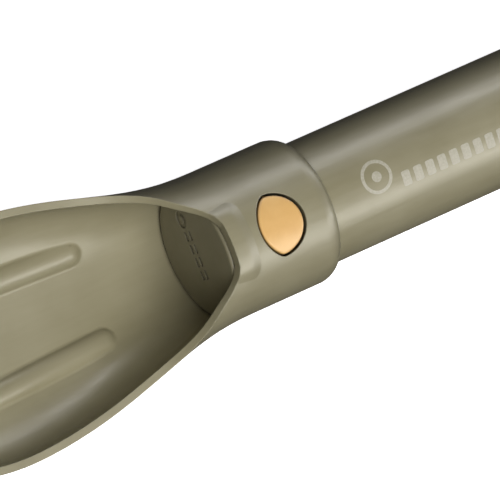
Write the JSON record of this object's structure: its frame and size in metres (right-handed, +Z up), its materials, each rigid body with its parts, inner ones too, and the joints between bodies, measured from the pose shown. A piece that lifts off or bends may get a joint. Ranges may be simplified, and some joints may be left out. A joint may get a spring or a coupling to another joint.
{
  "type": "telescoping camp trowel",
  "caption": "Moulded scoop trowel with a tubular handle that slides through a collar, a sprung release button and a pull-off end cap.",
  "frame": {"origin": "middle of the tool's length and width on the surface it lies on, with the handle extended", "axes": "+X along the handle towards its free end, +Z up out of the scoop's hollow, +Y to the tool's side"},
  "size_m": [0.2653, 0.0766, 0.0485],
  "materials": {
    "nylon_shell": "olive grey glass-filled nylon, satin",
    "button_plastic": "tan, satin",
    "spring_steel": "drawn spring wire",
    "seal_rubber": "matt black"
  },
  "bodies": {
    "blade": {"scoop_blade": "nylon_shell"},
    "handle": {"handle_tube": "nylon_shell", "front_plug": "nylon_shell", "button_spring": "spring_steel"},
    "button": {"release_button": "button_plastic"},
    "cap": {"end_cap": "nylon_shell", "cap_seal": "seal_rubber"}
  },
  "joints": [
    {"name": "handle_slide", "type": "slide", "parent": "blade", "child": "handle", "axis": [-1, 0, 0], "range_m": [0, 0.092], "deforming": ["release_button", "button_spring"]},
    {"name": "button_press", "type": "slide", "parent": "handle", "child": "button", "axis": [0, 0, -1], "range_m": [0, 0.0038], "stiffness_N_per_m": 900, "springref_m": -0.002, "deforming": ["button_spring"]},
    {"name": "cap_pull", "type": "slide", "parent": "handle", "child": "cap", "axis": [1, 0, 0], "range_m": [0, 0.014]}
  ]
}
